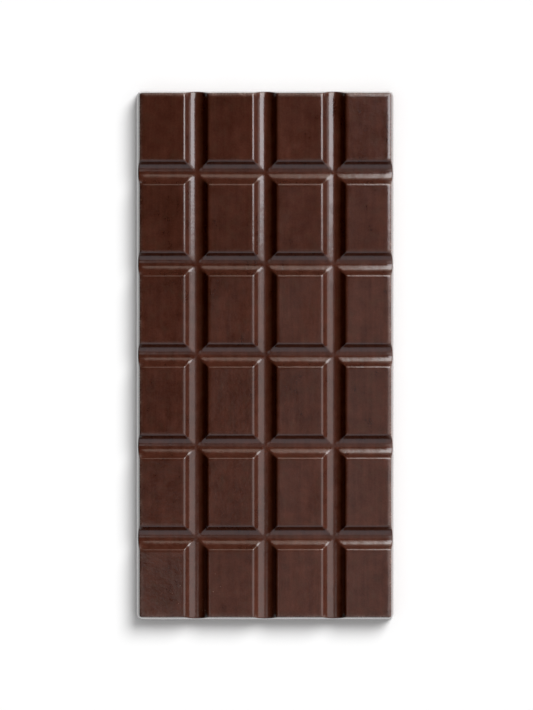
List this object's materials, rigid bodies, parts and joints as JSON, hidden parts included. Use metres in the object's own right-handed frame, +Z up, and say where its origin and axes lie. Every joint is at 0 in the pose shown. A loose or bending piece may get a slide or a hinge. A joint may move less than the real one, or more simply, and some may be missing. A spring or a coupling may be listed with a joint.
{
  "type": "dark chocolate bar",
  "caption": "Flat moulded bar of dark chocolate: rectangular blocks parted by round-bottomed snapping grooves, on a flat back.",
  "frame": {"origin": "middle of the flat back, on the surface the bar lies on", "axes": "+X across the bar's width, +Y along its length, +Z up out of the moulded face"},
  "size_m": [0.0766, 0.1574, 0.0073],
  "materials": {
    "dark_chocolate": "satin dark brown chocolate, a little glossy on its moulded top and dull on its back"
  },
  "bodies": {
    "root": {"chocolate_bar": "dark_chocolate"}
  },
  "joints": []
}
